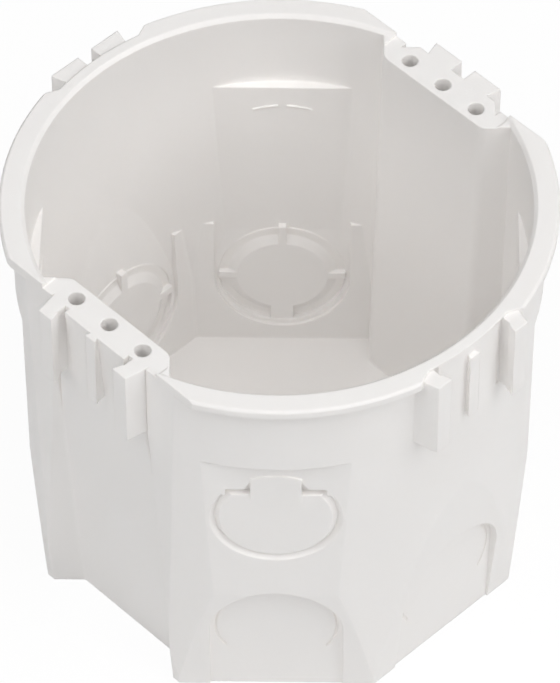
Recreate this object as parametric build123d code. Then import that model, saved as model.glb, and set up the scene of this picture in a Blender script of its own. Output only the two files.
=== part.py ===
# Socket back box: a flush wall box for a switch or socket, moulded in one piece.
# The box stands on its base with its open mouth up. All sizes are in millimetres.
# +X runs through the two screw walls, +Y towards the round side with the wide coupling lugs.
import os
from math import radians, sqrt, tan

from build123d import *

# Whole box
height = 61.8               # base to rim
rim_radius = 36.2           # outside of the rim flange
mouth_radius = 32.85        # inside of the wall at the rim
wall = 1.9                  # wall of the moulding
wall_draft = 0.8            # degrees, the round wall narrows towards the base
mouth_round = 0.5           # bevel round the mouth
floor_thickness = 1.1

# Rim flange
flange_thickness = 1.6
flange_edge = 0.3           # small bevel on its edges
flange_set_in = 0.8         # it is cut straight beside the screw walls, inside their outer face
flange_end = 8.7            # on the coupling sides it stops this far from the middle, at its foot
flange_slant = 2.2          # its ends run off to the side by this much for each step outwards

# Flat panels on the four walls between the screw sides and the coupling sides
panel_inside = 31.3         # centre line to the inside of a panel
panel_top = 12.2            # rim to the inner ledge above a panel
panel_top_outside = 13.2    # rim to the outer ledge

# Eight lower flats that lean in towards the base
base_apothem = 31.2         # centre line to a flat at the base
flat_lean = 5.35            # degrees
shoulder_depth = 38.5       # rim to the little shoulders inside, where the lower wall gets thicker
thick_wall_base = 2.2       # thickness of that lower wall at the base
thick_wall_top = 3.0        # the same at the shoulders

# Screw walls
screw_spacing = 60.0        # between the two middle device screws
screw_row_pitch = 6.1       # between neighbouring screw holes on one wall
screw_radius = 1.1
screw_depth = 10.0
bridge_drop = 0.7           # the top of a screw wall lies this far below the rim
bridge_in = 2.0             # screw line to the inner face, at its top
bridge_out = 2.7            # screw line to the outer face, at its top
bridge_lean_in = 1.8        # the inner face leans in by this much at the base
bridge_lean_out = 4.5       # the same for the outer face
channel_half_width = 8.7    # half of the flat outer face
channel_round = 0.8
bridge_corner = 1.8         # the upper corners of the outer face are cut off
block_half_width = 9.0      # half of the flat inner face
block_round = 1.8
step_margin = 1.5           # the lowered top reaches past the inner face on both sides

# Couplings: dovetail lugs and a guide rib that let two boxes slide together side by side
lug_out = 2.1               # how far the lugs stand out of the wall
lug_root = 1.5              # how far they reach into the round wall
lug_drop = 0.4              # the lugs on the two round sides start this far below the rim
lug_depth = 12.8            # rim to the lower end of the lugs and ribs
lug_gap = 0.3               # clearance between the two halves of a coupling
lug_undercut = 0.6          # each dovetail flank leans by this much
narrow_inner = 5.65         # middle to the inner corner of a narrow lug, at its outer face
narrow_width = 2.35         # width of a narrow lug at its outer face
narrow_flare = 0.9          # the outer flank of a narrow lug widens by this much to its root
rib_half_width = 0.9        # guide rib between the narrow lugs
rib_out = 0.7
rib_undercut = 0.3          # its flanks lean too
relief_width = 0.8          # groove along the inner foot of each narrow lug
relief_depth = 0.9

# Upper knock-out on each panel: a V-groove round three quarters of a circle, two straight shoulders
# above it, and a pry tab between two notches
upper_radius = 8.6          # outer edge of the groove
upper_depth = 24.45         # rim to the middle of the circle
score_width = 1.3
score_depth = 0.8
pry_half_width = 3.3
pry_height = 6.5            # the tab rises gently over this height
pry_out = 0.25
shoulder_rise = 4.6         # middle of the circle to the shoulders
shoulder_slot = 1.15        # height of the slot above a shoulder
notch_width = 1.6           # notch at either side of the tab
notch_height = 2.4
notch_depth = 1.0           # depth of the slots and notches
trace_radius = 10.5         # two fine raised arcs inside the wall
trace_rise = 8.95           # middle of the circle to their top
trace_width = 0.3
trace_out = 0.15
trace_inner = 0.6
trace_outer = 4.0

# Lower knock-out on six walls: an arched recess outside, closed by a thin disc
lower_radius = 8.8
lower_centre = 13.0         # base to its middle
lower_set_in = 0.3          # depth of the recess at the base
lower_draft = 1.6           # degrees, the disc leans outwards
lower_skin = 1.1            # thickness of the disc
ring_depth = 0.75           # weakened ring inside, round the disc
ring_land = 1.2             # width of its flat bottom
ring_slope = 1.3            # width of its sloping inner side
tab_width = 1.1             # tabs that cross the ring at the top and at both sides
foot_tab_width = 3.2        # the tab at the bottom
knob_rise = 0.8             # a little knob above the top tab
cradle_margin = 0.6         # opening in the thicker lower wall, round the disc
trace_line = 0.3            # fine arcs on the outer face
trace_line_depth = 0.15
trace_line_edge = 0.6       # disc edge to the arcs
trace_line_from = 6.6       # the arcs keep this far from the middle

# Distances from the centre line
body_radius = mouth_radius + wall
base_radius = body_radius - height * tan(radians(wall_draft))
panel_outside = panel_inside + wall
flat_inside = base_apothem - wall
bridge_inside = screw_spacing / 2 - bridge_in
bridge_outside = screw_spacing / 2 + bridge_out
flange_flat = bridge_outside - flange_set_in
core = mouth_radius / 2     # cutting blocks start here, well inside the hollow
reach = 60.0                # size of the cutting blocks

# Heights counted from the base
inner_ledge = height - panel_top
outer_ledge = height - panel_top_outside
upper_centre = height - upper_depth
bridge_top = height - bridge_drop
shoulder = height - shoulder_depth
lug_low = height - lug_depth

lean = tan(radians(flat_lean))
draft = tan(radians(wall_draft))

panel_sides = [45, 135, 225, 315]
knock_out_sides = panel_sides + [90, 270]
screw_sides = [0, 180]
coupling_sides = [90, 270]


def turned(shape, angle):
    """A shape drawn towards +X, turned to one of the sides."""
    return Rot(0, 0, angle) * shape


def beyond(distance, low, high):
    """Everything further out than an upright plane, between two heights."""
    return Pos(distance, 0, low) * Box(reach, 2 * reach, high - low,
                                       align=(Align.MIN, Align.CENTER, Align.MIN))


def profile(points, half_width):
    """A side profile in X and Z, drawn out to both sides of the middle."""
    face = make_face(Plane.XZ * Polyline(*points, close=True))
    return Pos(0, half_width, 0) * extrude(face, amount=2 * half_width)


def beyond_lean(low_distance, high_distance, low, high):
    """Everything further out than a plane that leans outwards between two heights."""
    return profile([(low_distance, low), (reach, low), (reach, high), (high_distance, high)], reach)


def trapezoid(distance, half_width, level, corner):
    """A flat outline whose sides open outwards at 45 degrees, with two rounded corners."""
    out = reach - distance
    line = Polyline(
        (distance, -half_width),
        (reach, -half_width - out),
        (reach, half_width + out),
        (distance, half_width),
        close=True,
    )
    face = make_face(line)
    near = face.vertices().sort_by(Axis.X)[:2]
    return Pos(0, 0, level) * fillet(near, corner)


def screw_side(top_distance, lean_in, half_width, corner):
    """The block outside a leaning screw-wall face."""
    slope = lean_in / bridge_top
    high = height + flange_thickness
    return loft([
        trapezoid(top_distance - lean_in, half_width, 0, corner),
        trapezoid(top_distance - lean_in + slope * high, half_width, high, corner),
    ], ruled=True)


def cone(near_radius, far_radius, level, near, far):
    """A round bar along +X whose radius changes evenly."""
    return Pos(near, 0, level) * Rot(0, 90, 0) * Cone(
        near_radius, far_radius, far - near, align=(Align.CENTER, Align.CENTER, Align.MIN))


def disc(radius, level, near, far):
    """A round bar along +X."""
    return Pos(near, 0, level) * Rot(0, 90, 0) * Cylinder(
        radius, far - near, align=(Align.CENTER, Align.CENTER, Align.MIN))


def bar(y_low, y_high, z_low, z_high, near, far):
    """A straight bar along +X."""
    return Pos(near, y_low, z_low) * Box(far - near, y_high - y_low, z_high - z_low,
                                         align=(Align.MIN, Align.MIN, Align.MIN))


def plan(points, low, high):
    """An upright prism on a flat outline."""
    return Pos(0, 0, low) * extrude(make_face(Polyline(*points, close=True)), amount=high - low)


# Outside: a round body, flat panels, lower flats and the two screw-wall channels
body = Cone(base_radius, body_radius, height,
            align=(Align.CENTER, Align.CENTER, Align.MIN))
for side in panel_sides:
    body -= turned(beyond(panel_outside, -1, outer_ledge), side)
for side in knock_out_sides + screw_sides:
    body -= turned(beyond_lean(base_apothem, base_apothem + lean * outer_ledge, 0, outer_ledge), side)
for side in screw_sides:
    body -= turned(screw_side(bridge_outside, bridge_lean_out, channel_half_width, channel_round), side)

# Rim flange, cut straight at the screw walls and open at the coupling sides
flange = Pos(0, 0, height - flange_thickness) * Cylinder(
    rim_radius, flange_thickness, align=(Align.CENTER, Align.CENTER, Align.MIN))
flange = chamfer(flange.edges(), flange_edge)
opening = plan([
    (body_radius - wall, -flange_end + flange_slant * wall),
    (body_radius + reach, -flange_end - flange_slant * reach),
    (body_radius + reach, flange_end + flange_slant * reach),
    (body_radius - wall, flange_end - flange_slant * wall),
], 0, 2 * height)
for side in coupling_sides:
    flange -= turned(opening, side)
for side in screw_sides:
    flange -= turned(beyond(flange_flat, 0, 2 * height), side)
body += flange

# Beside each screw wall, body and flange end in one flat face, and the screw wall's corners are cut off
corner_start = bridge_outside - bridge_corner
corner_end = channel_half_width - bridge_corner
ridge = plan([
    (core, -channel_half_width),
    (corner_start, -channel_half_width),
    (bridge_outside, -corner_end),
    (reach, -corner_end),
    (reach, corner_end),
    (bridge_outside, corner_end),
    (corner_start, channel_half_width),
    (core, channel_half_width),
], 0, 2 * height)
middle = bar(-channel_half_width, channel_half_width, 0, 2 * height, core, reach)
for side in screw_sides:
    body -= turned(beyond(flange_flat, 0, 2 * height) - middle, side)
    body -= turned(middle - ridge, side)

# Inside: a round hollow, narrowed by panels, lower walls and the screw walls
hollow = Pos(0, 0, floor_thickness) * Cone(
    mouth_radius - draft * (height - floor_thickness), mouth_radius, height - floor_thickness,
    align=(Align.CENTER, Align.CENTER, Align.MIN))
for side in panel_sides:
    hollow -= turned(beyond(panel_inside, 0, inner_ledge), side)
cradle_half_width = lower_radius + cradle_margin
cradle = disc(cradle_half_width, lower_centre, core, reach)
cradle += bar(-cradle_half_width, cradle_half_width, lower_centre, shoulder, core, reach)
thick_wall = beyond_lean(base_apothem - thick_wall_base,
                         base_apothem + lean * shoulder - thick_wall_top, 0, shoulder)
for side in knock_out_sides:
    hollow -= turned(beyond_lean(flat_inside, flat_inside + lean * inner_ledge, 0, inner_ledge), side)
    hollow -= turned(thick_wall - cradle, side)
for side in screw_sides:
    hollow -= turned(screw_side(bridge_inside, bridge_lean_in, block_half_width, block_round), side)
body -= hollow
body -= Pos(0, 0, height - mouth_round) * Cone(
    mouth_radius, mouth_radius + mouth_round, mouth_round,
    align=(Align.CENTER, Align.CENTER, Align.MIN))

# The tops of the screw walls lie lower than the rim
bridge_half_width = block_half_width + step_margin
for side in screw_sides:
    body -= turned(bar(-bridge_half_width, bridge_half_width, bridge_top, 2 * height, core, reach), side)

# Couplings: wide pairs of lugs on +X and +Y, narrow pairs with a middle rib on -X and -Y
wide_near = rib_half_width + lug_gap
wide_far = narrow_inner + lug_undercut - lug_gap
narrow_end = narrow_inner + narrow_width
for side in [0, 90, 180, 270]:
    on_screw_wall = side in screw_sides
    foot = bridge_outside if on_screw_wall else body_radius
    root = screw_spacing / 2 if on_screw_wall else foot - lug_root
    face = foot + lug_out
    lug_top = bridge_top if on_screw_wall else height - lug_drop
    rib_top = bridge_top if on_screw_wall else height - flange_thickness
    for hand in [-1, 1]:
        if side in [0, 90]:
            points = [
                (root, hand * wide_near),
                (face, hand * wide_near),
                (face, hand * wide_far),
                (foot, hand * (wide_far - lug_undercut)),
                (root, hand * (wide_far - lug_undercut)),
            ]
        else:
            points = [
                (root, hand * (narrow_inner + lug_undercut)),
                (foot, hand * (narrow_inner + lug_undercut)),
                (face, hand * narrow_inner),
                (face, hand * narrow_end),
                (root, hand * (narrow_end + narrow_flare)),
            ]
        body += turned(plan(points, lug_low, lug_top), side)
        if side in [180, 270]:
            lug_foot = narrow_inner + lug_undercut
            relief = bar(lug_foot - relief_width, lug_foot, lug_low, lug_top,
                         foot - relief_depth, foot + rib_out)
            body -= turned(relief if hand > 0 else mirror(relief, about=Plane.XZ), side)
    if side in [180, 270]:
        rib_foot = rib_half_width - rib_undercut
        rib = plan([
            (root, -rib_foot),
            (foot, -rib_foot),
            (foot + rib_out, -rib_half_width),
            (foot + rib_out, rib_half_width),
            (foot, rib_foot),
            (root, rib_foot),
        ], lug_low, rib_top)
        body += turned(rib, side)

# Three blind screw holes in the top of each screw wall
for side in screw_sides:
    for row in [-1, 0, 1]:
        hole = Pos(screw_spacing / 2, row * screw_row_pitch, bridge_top) * Cylinder(
            screw_radius, screw_depth, align=(Align.CENTER, Align.CENTER, Align.MAX))
        body -= turned(hole, side)

# Upper knock-outs: the V-groove stops at the shoulders, and a notch at either side frees the pry tab
score_middle = upper_radius - score_width / 2
score = cone(score_middle, score_middle + score_width, upper_centre,
             panel_outside - score_depth, panel_outside + score_depth)
score -= cone(score_middle, score_middle - score_width, upper_centre,
              panel_outside - score_depth, panel_outside + score_depth)
shoulder_level = upper_centre + shoulder_rise
score -= bar(-reach, reach, shoulder_level, height, core, reach)
notch_floor = panel_outside - notch_depth
slot_top = shoulder_level + 2 * shoulder_slot
notch = profile([
    (notch_floor, shoulder_level),
    (panel_outside + notch_depth, shoulder_level),
    (panel_outside + notch_depth, slot_top),
], sqrt(score_middle ** 2 - shoulder_rise ** 2))
notch_foot = pry_half_width + notch_width
notch_top = shoulder_level + notch_height
notch_outline = make_face(Plane.YZ * Polyline(
    (-notch_foot, shoulder_level),
    (notch_foot, shoulder_level),
    (pry_half_width, notch_top),
    (-pry_half_width, notch_top),
    close=True,
))
notch += Pos(notch_floor, 0, 0) * extrude(notch_outline, amount=2 * notch_depth)
notch -= bar(-pry_half_width, pry_half_width, 0, height, core, reach)
tab_top = upper_centre + upper_radius
pry_tab = profile([
    (panel_inside, tab_top - pry_height),
    (panel_outside, tab_top - pry_height),
    (panel_outside + pry_out, tab_top),
    (panel_inside, tab_top),
], pry_half_width)
pry_tab = pry_tab & disc(upper_radius, upper_centre, core, reach)
trace_centre = upper_centre + trace_rise - trace_radius
trace = disc(trace_radius, trace_centre, panel_inside - trace_out, panel_inside + trace_out)
trace -= disc(trace_radius - trace_width, trace_centre, core, reach)
trace = trace & (bar(-trace_outer, -trace_inner, upper_centre, height, core, reach)
                 + bar(trace_inner, trace_outer, upper_centre, height, core, reach))
for side in panel_sides:
    body -= turned(score, side)
    body -= turned(notch, side)
    body += turned(pry_tab, side)
    body += turned(trace, side)

# Lower knock-outs, drawn against their outer face: recess, disc, ring, tabs and fine arcs
lower_top = lower_centre + lower_radius
recess = disc(lower_radius, lower_centre, 0, reach)
recess += bar(-lower_radius, lower_radius, -lower_centre, lower_centre, 0, reach)
skin = disc(lower_radius, lower_centre, -lower_skin, 0)
skin += bar(-tab_width / 2, tab_width / 2, lower_centre, lower_top + knob_rise, -lower_skin, 0)
open_inside = disc(lower_radius, lower_centre, -core / 2, -lower_skin)
ring_floor = ring_depth - lower_skin
ring_inner = lower_radius - ring_land
ring = disc(lower_radius, lower_centre, -lower_skin, ring_floor)
ring -= cone(ring_inner - ring_slope, ring_inner, lower_centre, -lower_skin, ring_floor)
ring -= bar(-tab_width / 2, tab_width / 2, lower_centre, height, -reach, reach)
ring -= bar(-foot_tab_width / 2, foot_tab_width / 2, 0, lower_centre, -reach, reach)
ring -= bar(-reach, reach, lower_centre - tab_width / 2, lower_centre + tab_width / 2, -reach, reach)
arc_radius = lower_radius - trace_line_edge
arcs = disc(arc_radius, lower_centre, -trace_line_depth, trace_line_depth)
arcs -= disc(arc_radius - trace_line, lower_centre, -reach, reach)
arcs -= bar(-trace_line_from, trace_line_from, 0, height, -reach, reach)
for side in knock_out_sides:
    # the wall's face at the base: the lower flat, or what lies further in, the panel or the round wall
    wall_face = min(base_apothem, panel_outside if side in panel_sides else base_radius)
    on_face = Pos(wall_face - lower_set_in, 0, 0) * Rot(0, lower_draft, 0)
    body -= turned(on_face * recess, side)
    body += turned(on_face * skin, side)
    body -= turned(on_face * open_inside, side)
    body -= turned(on_face * ring, side)
    body -= turned(on_face * arcs, side)

body.label = "back_box"
os.makedirs("parts", exist_ok=True)
export_step(body, "parts/back_box.step")
print("back_box", body.is_valid, len(body.solids()), round(body.volume), body.bounding_box())
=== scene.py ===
# %% [markdown]
# # A socket back box in white plastic
#
# The object is a flush-mounting wall box: a round pot of white plastic that is set into a wall
# and later holds a switch or a socket. It was moulded in one shot, so there is one piece and nothing moves.
# The solid comes from the CAD model. This lesson dresses it: a believable white plastic, soft edges,
# a pale studio and a camera with a long lens.

# %% Load the frame
from math import cos, radians, sin

import bpy
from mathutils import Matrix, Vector


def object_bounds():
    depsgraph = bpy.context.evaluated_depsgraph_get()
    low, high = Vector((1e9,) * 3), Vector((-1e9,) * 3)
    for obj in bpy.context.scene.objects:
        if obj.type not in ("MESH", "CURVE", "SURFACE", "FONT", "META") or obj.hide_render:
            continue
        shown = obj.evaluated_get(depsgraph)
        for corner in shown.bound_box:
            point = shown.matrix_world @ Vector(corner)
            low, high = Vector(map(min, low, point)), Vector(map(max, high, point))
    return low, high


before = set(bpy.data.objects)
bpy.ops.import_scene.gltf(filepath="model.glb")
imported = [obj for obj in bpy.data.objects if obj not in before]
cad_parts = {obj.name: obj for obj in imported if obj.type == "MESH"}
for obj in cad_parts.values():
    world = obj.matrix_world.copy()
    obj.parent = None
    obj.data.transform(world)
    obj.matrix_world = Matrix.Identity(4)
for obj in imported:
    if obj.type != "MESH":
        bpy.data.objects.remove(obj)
cad_low, cad_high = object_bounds()
box_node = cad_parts["back_box"]
print("loaded", box_node.name, "with", len(box_node.data.polygons), "faces")

# %% [markdown]
# ## One millimetre
#
# Blender works in metres here. The scene could be made a thousand times larger to avoid small numbers,
# but then it would no longer share the CAD model's frame. So small sizes are written as a number times `mm`.
# The view transform is Standard, which shows a colour about as it is written.

# %% Units and the scene
mm = 0.001
scene = bpy.context.scene
scene.view_settings.view_transform = "Standard"
box_size = [high - low for low, high in zip(cad_low, cad_high)]
print("box, millimetres:", [round(side / mm, 1) for side in box_size])

# %% [markdown]
# ## Smooth walls, crisp edges
#
# The round wall of the real box is truly round, while a mesh has facets. More facets would hide this,
# but the mesh has to stay as the CAD model gives it. So the faces are shaded smooth, and the edges
# that turn by more than a few degrees are marked as sharp, which keeps ledges and grooves crisp.
# Only flags change here.

# %% Smooth shading
SMOOTH_ANGLE = radians(14)


def shade_smooth(obj, angle):
    """Smooth faces, with every edge sharper than the angle kept sharp."""
    mesh = obj.data
    for polygon in mesh.polygons:
        polygon.use_smooth = True
    mesh.set_sharp_from_angle(angle=angle)
    sharp = sum(1 for item in mesh.attributes["sharp_edge"].data if item.value)
    print(obj.name, "has", len(mesh.polygons), "smooth faces and", sharp, "sharp edges")


shade_smooth(box_node, SMOOTH_ANGLE)

# %% [markdown]
# ## White plastic
#
# The box is a plain white thermoplastic. A painted texture could show its small flaws, but it would need
# an image and an unwrapped mesh. Here each effect is one small group of nodes, driven by the object's own
# coordinates, so it holds at any distance. The material starts with a Principled shader and nothing else.
# Three helpers keep the later cells short: they set sockets, add a node and join sockets.

# %% A plain shader
GRID_STEP = 300
PLASTIC_IOR = 1.49


def set_inputs(node, **values):
    """Set a node's sockets by name, where an underscore stands for a space."""
    for name, value in values.items():
        node.inputs[name.replace("_", " ")].default_value = value


def add_node(tree, kind, place, **values):
    """A shader node at a place on the editor's grid, with some of its sockets set."""
    node = tree.nodes.new(kind)
    node.location = [GRID_STEP * step for step in place]
    set_inputs(node, **values)
    return node


def connect(tree, *links):
    """Join pairs of sockets, each an output and the input that it feeds."""
    for source, target in links:
        tree.links.new(source, target)


def new_material(name):
    """A material with an empty node tree."""
    material = bpy.data.materials.new(name)
    material.use_nodes = True
    material.node_tree.nodes.clear()
    return material


white_plastic = new_material("white_plastic")
plastic_tree = white_plastic.node_tree
where = add_node(plastic_tree, "ShaderNodeTexCoord", (-3, 0))
plastic = add_node(plastic_tree, "ShaderNodeBsdfPrincipled", (2, 0), IOR=PLASTIC_IOR)
plastic_output = add_node(plastic_tree, "ShaderNodeOutputMaterial", (3, 0))
connect(plastic_tree, (plastic.outputs["BSDF"], plastic_output.inputs["Surface"]))
print("material", white_plastic.name, "starts with", len(plastic_tree.nodes), "nodes")

# %% [markdown]
# ### Cloudy tone
#
# The white is a little warm and not quite even, because the melt leaves faint clouds as it fills the mould.
# One flat colour would look like paper. A slow noise that runs between two close whites is enough:
# the eye takes it in without seeing a pattern.

# %% Cloudy tone
CLOUD_LOW = (0.970, 0.949, 0.931, 1.0)
CLOUD_HIGH = (0.984, 0.965, 0.949, 1.0)
CLOUD_SCALE = 55.0
CLOUD_DETAIL = 4.0
RAMP_START = 0.3
RAMP_END = 0.7


def add_noise(tree, row, scale, detail):
    """A noise texture in one row of the editor."""
    return add_node(tree, "ShaderNodeTexNoise", (-2, row), Scale=scale, Detail=detail)


def add_ramp(tree, row, noise, low, high):
    """A ramp that turns a noise into colours between two given ones."""
    ramp = add_node(tree, "ShaderNodeValToRGB", (-1, row))
    first, last = ramp.color_ramp.elements
    first.position, last.position = RAMP_START, RAMP_END
    first.color, last.color = low, high
    connect(tree, (noise.outputs["Fac"], ramp.inputs["Fac"]))
    return ramp


cloud = add_noise(plastic_tree, 1, CLOUD_SCALE, CLOUD_DETAIL)
tone = add_ramp(plastic_tree, 1, cloud, CLOUD_LOW, CLOUD_HIGH)
connect(
    plastic_tree,
    (where.outputs["Object"], cloud.inputs["Vector"]),
    (tone.outputs["Color"], plastic.inputs["Base Color"]),
)
print("tone runs from", CLOUD_LOW[:3], "to", CLOUD_HIGH[:3])

# %% [markdown]
# ### Uneven gloss
#
# The plastic is satin. Where the mould is more worn, or the wall was touched, it shines a little more.
# A single roughness would give every wall the same sheen. A second noise moves the roughness up and down
# around the middle of its range, and it is finer than the clouds so that the two never line up.

# %% Uneven gloss
GLOSS_LOW = 0.42
GLOSS_HIGH = 0.54
GLOSS_SCALE = 140.0
GLOSS_DETAIL = 3.0


def grey(level):
    """A grey with full alpha."""
    return (level, level, level, 1.0)


gloss = add_noise(plastic_tree, 0, GLOSS_SCALE, GLOSS_DETAIL)
rough = add_ramp(plastic_tree, 0, gloss, grey(GLOSS_LOW), grey(GLOSS_HIGH))
connect(
    plastic_tree,
    (where.outputs["Object"], gloss.inputs["Vector"]),
    (rough.outputs["Color"], plastic.inputs["Roughness"]),
)
print("roughness runs from", GLOSS_LOW, "to", GLOSS_HIGH)

# %% [markdown]
# ### Rounded edges, slight waves and a fine grain
#
# A moulded edge is never razor sharp, a moulded wall is never quite flat, and the mould's spark-eroded skin
# leaves a grain. Cutting real bevels would change the mesh, so the Bevel node bends only the shading near
# an edge. Its result feeds a bump for the waves, and that feeds a bump for the grain: each adds to the last.
# Both are hundredths of a millimetre high, far too small to be modelled.

# %% Rounded edges, waves and grain
EDGE_RADIUS = 0.3 * mm
EDGE_SAMPLES = 6
WAVE_SCALE = 90.0
WAVE_DETAIL = 1.0
WAVE_HEIGHT = 0.03 * mm
GRAIN_SCALE = 2600.0
GRAIN_DETAIL = 2.0
GRAIN_HEIGHT = 0.012 * mm

edge = add_node(plastic_tree, "ShaderNodeBevel", (-1, -1), Radius=EDGE_RADIUS)
edge.samples = EDGE_SAMPLES
wave = add_noise(plastic_tree, -1, WAVE_SCALE, WAVE_DETAIL)
wave_bump = add_node(plastic_tree, "ShaderNodeBump", (0, -1), Distance=WAVE_HEIGHT)
grain = add_noise(plastic_tree, -2, GRAIN_SCALE, GRAIN_DETAIL)
grain_bump = add_node(plastic_tree, "ShaderNodeBump", (1, -1), Distance=GRAIN_HEIGHT)
connect(
    plastic_tree,
    (where.outputs["Object"], wave.inputs["Vector"]),
    (where.outputs["Object"], grain.inputs["Vector"]),
    (edge.outputs["Normal"], wave_bump.inputs["Normal"]),
    (wave.outputs["Fac"], wave_bump.inputs["Height"]),
    (wave_bump.outputs["Normal"], grain_bump.inputs["Normal"]),
    (grain.outputs["Fac"], grain_bump.inputs["Height"]),
    (grain_bump.outputs["Normal"], plastic.inputs["Normal"]),
)
print("edges look", round(EDGE_RADIUS / mm, 2), "mm round")

# %% [markdown]
# ### Light inside the plastic
#
# Light travels a short way into white plastic and comes out again, which softens small edges and grooves.
# Following each ray through the wall is closer to nature and slow. The Burley method spreads the light
# over the surface instead, and with a depth of less than half a millimetre it looks much the same.
# Red light goes a little deeper than blue. Then the finished material goes onto the box.

# %% Light inside, and onto the box
GLOW_SHARE = 0.5
GLOW_DEPTH = 0.4 * mm
GLOW_RADIUS = (1.0, 0.92, 0.84)

plastic.subsurface_method = "BURLEY"
set_inputs(
    plastic,
    Subsurface_Weight=GLOW_SHARE,
    Subsurface_Scale=GLOW_DEPTH,
    Subsurface_Radius=GLOW_RADIUS,
)
box_node.data.materials.clear()
box_node.data.materials.append(white_plastic)
print("material", white_plastic.name, "with", len(plastic_tree.nodes), "nodes is on", box_node.name)

# %% [markdown]
# ## The floor
#
# A product picture has a floor with no horizon. A studio uses a curved sheet of paper for it.
# Here one large plane under the box is enough, because the camera looks down and sees nothing else.
# Its paper is matt and almost even.

# %% Floor and paper
FLOOR_SIDE = 4.0
PAPER_LOW = 0.78
PAPER_HIGH = 0.80
FIBRE_SCALE = 60.0
FIBRE_DETAIL = 5.0

bpy.ops.mesh.primitive_plane_add(size=FLOOR_SIDE, location=(0, 0, cad_low[2]))
floor = bpy.context.object
floor.name = "floor"
floor_paper = new_material("floor_paper")
floor.data.materials.append(floor_paper)

paper_tree = floor_paper.node_tree
fibre = add_noise(paper_tree, 0, FIBRE_SCALE, FIBRE_DETAIL)
paper_tone = add_ramp(paper_tree, 0, fibre, grey(PAPER_LOW), grey(PAPER_HIGH))
paper = add_node(paper_tree, "ShaderNodeBsdfDiffuse", (1, 0))
connect(paper_tree, (paper_tone.outputs["Color"], paper.inputs["Color"]))
print("floor", FLOOR_SIDE, "m wide, under the box at z =", round(cad_low[2], 4))

# %% [markdown]
# ### A white background that keeps the shadow
#
# The background of the picture is white. More light could make it so, but it would bleach the box too.
# Instead, a ray that comes straight from the camera, or by way of a mirror or glass, meets a floor
# that is mostly white light. Every other ray meets the plain paper. The share of paper that the camera
# still sees carries the box's shadow.

# %% What the camera sees of the floor
FLOOR_WHITE = 1.03
FLOOR_WHITE_SHARE = 0.9

path = add_node(paper_tree, "ShaderNodeLightPath", (-2, 1))
mirrored = add_node(paper_tree, "ShaderNodeMath", (-1, 1))
seen = add_node(paper_tree, "ShaderNodeMath", (0, 1))
seen.use_clamp = True
share = add_node(paper_tree, "ShaderNodeMath", (1, 1))
share.operation = "MULTIPLY"
share.inputs[1].default_value = FLOOR_WHITE_SHARE
bright = add_node(paper_tree, "ShaderNodeEmission", (1, -1), Strength=FLOOR_WHITE)
mix = add_node(paper_tree, "ShaderNodeMixShader", (2, 0))
paper_output = add_node(paper_tree, "ShaderNodeOutputMaterial", (3, 0))
connect(
    paper_tree,
    (path.outputs["Is Glossy Ray"], mirrored.inputs[0]),
    (path.outputs["Is Transmission Ray"], mirrored.inputs[1]),
    (path.outputs["Is Camera Ray"], seen.inputs[0]),
    (mirrored.outputs[0], seen.inputs[1]),
    (seen.outputs[0], share.inputs[0]),
    (share.outputs[0], mix.inputs["Fac"]),
    (paper.outputs["BSDF"], mix.inputs[1]),
    (bright.outputs["Emission"], mix.inputs[2]),
    (mix.outputs["Shader"], paper_output.inputs["Surface"]),
)
print("the camera sees", FLOOR_WHITE_SHARE, "white and", round(1 - FLOOR_WHITE_SHARE, 2), "paper")

# %% [markdown]
# ## A weak dome
#
# The picture has almost no hard shadow. A bright dome alone would give that, but it would light
# every wall alike and make the box look flat. So the dome is weak and only fills what the lamps leave.

# %% Dome
DOME_COLOUR = grey(1.0)
DOME_STRENGTH = 0.2

world = bpy.data.worlds.new("studio_dome")
scene.world = world
world.use_nodes = True
set_inputs(world.node_tree.nodes["Background"], Color=DOME_COLOUR, Strength=DOME_STRENGTH)
print("dome of strength", DOME_STRENGTH)

# %% [markdown]
# ## Soft lamps
#
# In a studio, large soft boxes stand round such an object. Small lamps or a sun would draw hard shadows
# inside the box. These area lamps stand well above it, so that their light falls into the mouth and bounces
# about inside. The lamp on the right is the strongest, which makes the right-hand walls lighter
# than the left-hand ones. Their places are given from the camera's side, as a photographer would say them.

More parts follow.
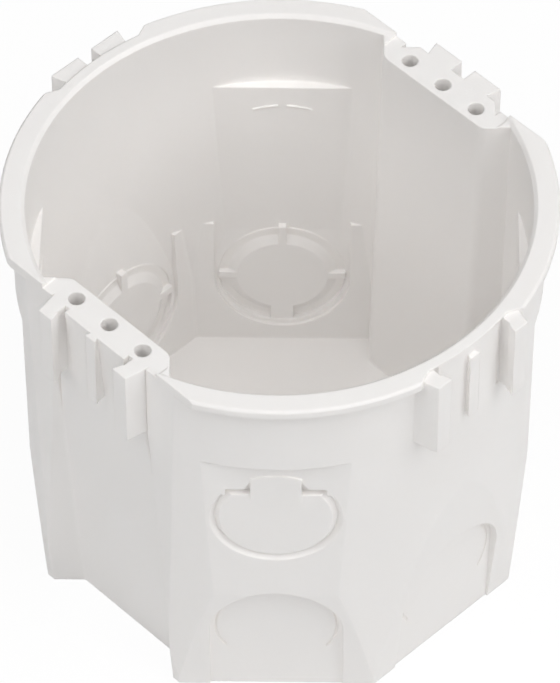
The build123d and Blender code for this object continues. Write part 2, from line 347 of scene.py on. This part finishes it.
# %% Lamps
PHOTO_AZIMUTH = radians(-44.25)
LAMP_DISTANCE = 1.0
LAMP_SIDE = 0.7
LAMPS = {
    # name: degrees to the right of the camera, degrees above the floor, watts
    "top_light": (0, 80, 2.3),
    "front_light": (0, 35, 0.9),
    "right_light": (62, 40, 4.05),
    "left_light": (-55, 45, 2.5),
    "rear_light": (135, 30, 1.1),
}


def direction(azimuth, elevation):
    """The direction from the object to something seen at this azimuth and elevation."""
    return Vector((sin(azimuth) * cos(elevation), -cos(azimuth) * cos(elevation), sin(elevation)))


def add_softbox(name, azimuth, elevation, power, aim):
    """A square area lamp that looks at the aim."""
    lamp = bpy.data.lights.new(name, "AREA")
    lamp.shape = "SQUARE"
    lamp.size = LAMP_SIDE
    lamp.energy = power
    obj = bpy.data.objects.new(name, lamp)
    scene.collection.objects.link(obj)
    away = direction(azimuth, elevation)
    obj.location = aim + LAMP_DISTANCE * away
    obj.rotation_euler = away.to_track_quat("Z", "Y").to_euler()


middle = Vector((0, 0, (cad_low[2] + cad_high[2]) / 2))
for name, (turn, rise, power) in LAMPS.items():
    add_softbox(name, PHOTO_AZIMUTH + radians(turn), radians(rise), power, middle)
print("lamps:", ", ".join(LAMPS))

# %% [markdown]
# ## The camera
#
# The picture was taken from well back with a long lens, looking down into the mouth, straight at one
# of the flat panels. A short lens from close by would widen the rim and squeeze the base.
# The picture is taller than it is wide, so Blender's 36 mm sensor lies along its height.

# %% Camera
PHOTO_ELEVATION = radians(48.99)
PHOTO_DISTANCE = 739.6 * mm
LENS_MM = 293.9
AIM_HEIGHT = 33.84 * mm
AIM_SHIFT = Vector((-0.01, -0.13, 0.0)) * mm

camera_data = bpy.data.cameras.new("camera")
camera_data.lens = LENS_MM
camera = bpy.data.objects.new("camera", camera_data)
scene.collection.objects.link(camera)
scene.camera = camera
aim = Vector((0, 0, cad_low[2] + AIM_HEIGHT)) + AIM_SHIFT
view_from = direction(PHOTO_AZIMUTH, PHOTO_ELEVATION)
camera.location = aim + PHOTO_DISTANCE * view_from
camera.rotation_euler = view_from.to_track_quat("Z", "Y").to_euler()
print("camera at", [round(value, 3) for value in camera.location])
